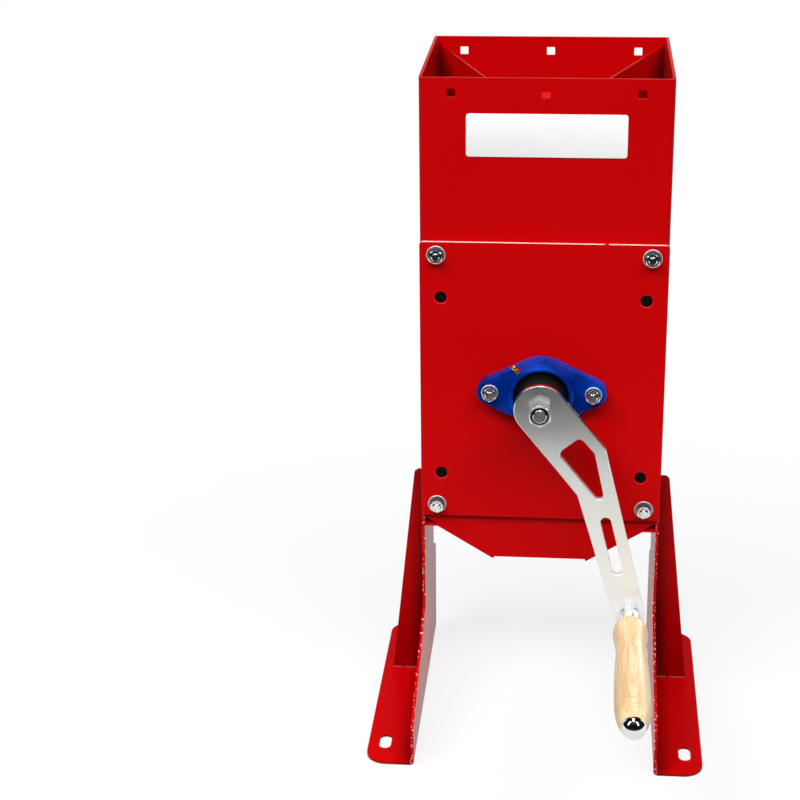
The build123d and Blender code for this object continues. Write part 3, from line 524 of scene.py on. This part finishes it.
set_at(hex_nut("nut", nut_flats, bolt_nut_height, nut_bore),
       [(x, y, shaft_height) for x in bolt_xs for y in (bolt_nut_y, mirror_y - bolt_nut_y)],
       "bolt_nut", zinc, "frame", "zinc_hardware", "bearing_nuts")


# Crank arm: a flat steel bar, sawn and bent in its plane, with a satin zinc coat over rolled steel. The
# coat turns dull and milky towards the handle, where hands touch it.
dull_from, dull_to = 0.33, 0.19
satin, shade, shader = new_finish("satin_plate")
place = place_of(shade)
cloud = noise(shade, place, 55.0, 5.0)
spangle = noise(shade, place, 1100.0, 2.0)
speck = ranged(shade, spangle, 0.3, 0.7)
plated = blend(shade, cloud, (0.94, 0.96, 0.93, 1), (0.99, 0.99, 0.98, 1))
feed(shader, "Base Color", blend(shade, speck * 0.2, plated, (0.76, 0.78, 0.74, 1)))
handled = ranged(shade, axis_of(shade, place, "Z"), dull_from, dull_to)
feed(shader, "Metallic", 1.0 - 0.42 * handled)
feed(shader, "Roughness", 0.16 + 0.06 * cloud + 0.04 * speck + 0.20 * handled)
feed(shader, "Normal", bump(shade, spangle, 0.000006))
coat(satin, "crank_arm")


# Crank nut: a tall hexagon nut, turned by hand to where it stopped, with a wide countersink round
# the shaft end. Its zinc is duller than the small nuts', and painted shade blackens the countersink.
crank_face_y, crank_nut_height, crank_flats, crank_bore = -0.0578, 0.0148, 0.021, 0.00705
sink_inner, sink_outer, crank_stop = 0.0069, 0.0088, -7.0
crank_zinc, shade, shader = new_finish("crank_zinc", Metallic=0.8)
place = place_of(shade)
film = noise(shade, place, 200.0, 3.0)
from_axis = from_shaft(shade, place)
# The countersink is painted near black as painted shade.
countersink_shade = (from_axis > sink_inner) * (from_axis < sink_outer)
plated = blend(shade, film, (0.70, 0.72, 0.74, 1), (0.88, 0.89, 0.90, 1))
feed(shader, "Base Color", blend(shade, countersink_shade * 0.97, plated, (0.004, 0.004, 0.004, 1)))
feed(shader, "Roughness", 0.16 + 0.16 * film)
feed(shader, "Normal", bump(shade, film, 0.00003))
crank_nut = hex_nut("nut", crank_flats, crank_nut_height, crank_bore, flare=1.3, steep=2.0)
crank_nut.rotation_euler = (0.0, math.radians(crank_stop), 0.0)
bpy.ops.object.transform_apply(location=True, rotation=True, scale=True)
set_at(crank_nut, [(0.0, crank_face_y - crank_nut_height / 2, shaft_height)],
       "crank_nut_hex", crank_zinc, "rotor", "zinc_hardware", "crank_nut")


# Spindle nuts: the back nut locks the handle's spindle in the arm, and the end nut, which hides under
# the cap, keeps the grip on. Both have the washers' milky zinc.
coat(milky_zinc, "spindle_back_nut", "spindle_end_nut")


# Grip: turned from pale beech along the grain, sanded and clear varnished. The year rings show as
# fine lines along the sides and as long arches where the grip swells.
handle_x, handle_z = 0.094, 0.1365
pith_below, grain_tilt, rings_per_metre = 0.090, 0.032, 760.0
wood, shade, shader = new_finish("wood", Specular_IOR_Level=0.3, Coat_Weight=0.18, Coat_Roughness=0.24)
place = place_of(shade)
centred = shade.node(
    "ShaderNodeMapping", {},
    {"Vector": place, "Location": (-handle_x, 0.0, pith_below - handle_z),
     "Rotation": (grain_tilt, 0.0, 0.0)},
)
along = stretched(shade, centred, (1.0, 0.05, 1.0))
from_pith = length_of(shade, stretched(shade, centred, (1.0, 0.0, 1.0)))
sway = noise(shade, stretched(shade, place, (14.0, 9.0, 14.0)), 1.0, 2.0)
year = shade.maths("FRACT", (from_pith + 0.004 * sway) * rings_per_metre)
ring_tones = [(0.0, 0.15), (0.45, 0.0), (0.9, 1.0), (1.0, 0.15)]
late = shade.node(
    "ShaderNodeValToRGB", {"stops": [(spot, (grey, grey, grey)) for spot, grey in ring_tones]}, {"Fac": year}
)
fibre = noise(shade, stretched(shade, place, (620.0, 14.0, 620.0)), 1.0, 4.0, 0.6)
fleck = noise(shade, stretched(shade, place, (520.0, 70.0, 520.0)), 1.0, 1.0) > 0.69
band = ranged(shade, noise(shade, along, 130.0, 3.0), 0.36, 0.60)
tone = blend(shade, band, (0.69, 0.46, 0.20, 1), (0.87, 0.70, 0.42, 1))
ringed = blend(shade, late * 0.48, tone, (0.53, 0.29, 0.10, 1))
strand = ranged(shade, fibre, 0.35, 0.65)
fibred = blend(shade, strand * 0.35, ringed, (0.88, 0.73, 0.51, 1))
feed(shader, "Base Color", blend(shade, fleck * 0.5, fibred, (0.50, 0.27, 0.10, 1)))
feed(shader, "Roughness", 0.34 + 0.16 * fibre)
feed(shader, "Normal", bump(shade, fibre - 0.6 * fleck, 0.00004))
coat(wood, "handle_grip")


# Ferrule and cap: a nickelled ferrule, turned with a collar and a bead, holds the grip's tenon, and a
# domed chrome cap is pressed into the grip's end.
chrome, shade, shader = new_finish("chrome", Metallic=1.0)
place = place_of(shade)
film = noise(shade, place, 160.0, 3.0)
feed(shader, "Base Color", blend(shade, film, (0.80, 0.80, 0.81, 1), (0.90, 0.90, 0.90, 1)))
feed(shader, "Roughness", 0.03 + 0.06 * film)
coat(chrome, "handle_cap")
nickel, shade, shader = new_finish("ferrule_nickel", Metallic=1.0)
place = place_of(shade)
film = noise(shade, place, 220.0, 3.0)
feed(shader, "Base Color", blend(shade, film, (0.82, 0.82, 0.80, 1), (0.93, 0.93, 0.91, 1)))
feed(shader, "Roughness", 0.14 + 0.12 * film)
ferrule_start, collar_end, bead_start, bead_end = 0.0024, 0.0060, 0.0074, 0.0110
sleeve_start, ferrule_end, sleeve_roll = 0.0122, 0.030, 0.0010
collar_radius, bead_radius, groove_radius, sleeve_radius = 0.0094, 0.0098, 0.0086, 0.0103
spindle_hole, tenon_hole, tenon_start = 0.00505, 0.0075, 0.014


def rounded(radius, low, start, end):
    """Outline points of a band whose two edges roll down from its radius to a lower one."""
    roll = min(radius - low, (end - start) / 2)
    turns = [math.radians(angle) for angle in range(0, 91, 15)]
    rise = [(radius - roll + roll * math.sin(turn), start + roll - roll * math.cos(turn)) for turn in turns]
    return rise + [(high, start + end - place) for high, place in reversed(rise)]


ferrule_outline = (
    [(spindle_hole, ferrule_start)]
    + rounded(collar_radius, groove_radius, ferrule_start, collar_end)
    + rounded(bead_radius, groove_radius, bead_start, bead_end)
    + rounded(sleeve_radius, sleeve_radius - sleeve_roll, sleeve_start, ferrule_end)
    + [(tenon_hole, ferrule_end), (tenon_hole, tenon_start)]
    + [(spindle_hole, tenon_start), (spindle_hole, ferrule_start)]
)
ferrule = turned("ferrule", [(radius, crank_face_y - reach) for radius, reach in ferrule_outline], 64)
set_at(ferrule, [(handle_x, 0.0, handle_z)], "ferrule_beaded", nickel, "handle", "chrome", "handle_ferrule")


# Floor: a wide white sheet. Near the object it is lit and keeps the shadow; further off it is the
# white background for the camera and for reflections. It throws little light back.
def light_path(shade, ray):
    return shade.node("ShaderNodeLightPath", out=f"Is {ray} Ray")


def backdrop_rays(shade):
    """1 for the rays that show the background: the camera's, reflected ones and those through glass."""
    return light_path(shade, "Camera") + light_path(shade, "Glossy") + light_path(shade, "Transmission")


floor_size, floor_drop = 40.0, 0.0005
lit_radius, white_radius, near_white = 0.25, 1.0, 0.80
bpy.ops.object.select_all(action="DESELECT")
bpy.ops.mesh.primitive_plane_add(size=floor_size, location=(0.0, 0.0, -floor_drop))
floor = bpy.context.object
floor.name = "floor"
floor_white, shade, shader = new_finish("floor_white", Roughness=1.0, Specular_IOR_Level=0.0)
far = shade.node(
    "ShaderNodeMapRange", {"interpolation_type": "SMOOTHSTEP"},
    {"Value": length_of(shade, place_of(shade)), "From Min": lit_radius, "From Max": white_radius,
     "To Min": near_white},
)
glow = shade.node("ShaderNodeEmission", {}, {"Color": (1, 1, 1, 1), "Strength": 1.0})
bounce, white = (0.22, 0.22, 0.22, 1), (0.76, 0.76, 0.76, 1)
feed(shader, "Base Color", blend(shade, light_path(shade, "Camera"), bounce, white))
lit = Shade(floor_white.node_tree, shader.outputs[0])
mixed = shade.node("ShaderNodeMixShader", {}, {0: far * backdrop_rays(shade), 1: lit, 2: glow})
feed(floor_white.node_tree.nodes["Material Output"], "Surface", mixed)
floor.data.materials.append(floor_white)


# Studio cards: the room is dark on the camera's side, left, right, overhead and high up behind, with
# three soft boxes in it. One dark card fades in on the floor in front. They show in reflections only.
def studio_card(name, size, location, degrees, material):
    turn = tuple(math.radians(angle) for angle in degrees)
    bpy.ops.object.select_all(action="DESELECT")
    bpy.ops.mesh.primitive_plane_add(size=1.0, location=location, rotation=turn)
    card = bpy.context.object
    card.name = name
    card.scale = (size[0], size[1], 1.0)
    bpy.ops.object.transform_apply(location=True, rotation=True, scale=True)
    card.visible_camera = False
    card.visible_diffuse = False
    card.visible_shadow = False
    card.data.materials.append(material)


fade_from, fade_to = -0.66, -0.88
matt = {"Base_Color": (0.015, 0.015, 0.015, 1), "Roughness": 1.0, "Specular_IOR_Level": 0.0}
card_black, shade, shader = new_finish("card_black", **matt)
card_fading, shade, shader = new_finish("card_fading", **matt)
feed(shader, "Alpha", ranged(shade, axis_of(shade, place_of(shade), "Y"), fade_from, fade_to))
soft_box, shade, shader = new_finish(
    "soft_box", Base_Color=(0, 0, 0, 1), Emission_Color=(1, 1, 1, 1), Emission_Strength=3.0
)
level, upright, sideways = (0.0, 0.0, 0.0), (90.0, 0.0, 0.0), (90.0, 0.0, 90.0)
studio_card("front_card", (8.0, 3.3), (0.0, -1.9, 0.002), level, card_fading)
studio_card("camera_card", (8.0, 5.0), (0.0, -3.5, 2.5), upright, card_black)
studio_card("left_card", (5.5, 5.0), (-4.0, -0.8, 2.5), sideways, card_black)
studio_card("right_card", (5.5, 5.0), (4.0, -0.8, 2.5), sideways, card_black)
studio_card("back_card", (7.0, 3.0), (0.0, 3.0, 2.7), upright, card_black)
studio_card("ceiling_card", (9.0, 8.0), (0.0, -0.5, 3.6), level, card_black)
studio_card("top_box", (0.8, 2.2), (0.0, -0.5, 3.0), level, soft_box)
studio_card("left_box", (0.5, 1.7), (-1.33, -1.49, 1.73), (52.0, 0.0, -47.0), soft_box)
studio_card("right_box", (0.4, 1.7), (1.27, -1.65, 1.73), (52.0, 0.0, 40.0), soft_box)


# Studio light: a white room with little light of its own, a wide row of key lamps above in front,
# stronger to the left, and two low lamps behind that catch the upper edges and light the back.
room = bpy.data.worlds.new("room")
room.use_nodes = True
shade = Shade(room.node_tree)
sky = room.node_tree.nodes["Background"]
sky.inputs["Color"].default_value = (1, 1, 1, 1)
fill_light = 0.12
feed(sky, "Strength", fill_light + (1.0 - fill_light) * backdrop_rays(shade))
bpy.context.scene.world = room


def soft_sun(name, azimuth, elevation, strength, spread):
    sun = bpy.data.objects.new(name, bpy.data.lights.new(name, "SUN"))
    sun.data.energy = strength
    sun.data.angle = math.radians(spread)
    sun.rotation_euler = (math.radians(90.0 - elevation), 0.0, math.radians(azimuth))
    bpy.context.scene.collection.objects.link(sun)


key_row, key_step, key_rise, key_spread = (0.95, 1.00, 0.75, 0.60, 0.60, 0.70, 0.60), 20.0, 48.0, 18.0
for number, strength in enumerate(key_row):
    azimuth = key_step * (number - len(key_row) // 2)
    soft_sun(f"key_light_{number + 1}", azimuth, key_rise, strength, key_spread)
back_azimuth, back_rise, back_strength, back_spread = 155.0, 12.0, 0.45, 14.0
soft_sun("back_light_left", -back_azimuth, back_rise, back_strength, back_spread)
soft_sun("back_light_right", back_azimuth, back_rise, back_strength, back_spread)


# Camera: it stands a little to the right and looks down at the crank side, as the photograph does, with
# the small vertical shift that its framing needs.
camera = bpy.data.objects.new("camera", bpy.data.cameras.new("camera"))
camera.data.sensor_width = 36.0
camera.data.lens = 85.18
camera.data.shift_y = -0.05
camera.location = (0.0375, -1.7812, 1.0618)
camera.rotation_euler = (1.20817, 0.01225, 0.09655)
bpy.context.scene.collection.objects.link(camera)
bpy.context.scene.camera = camera
bpy.context.scene.view_settings.view_transform = "Standard"
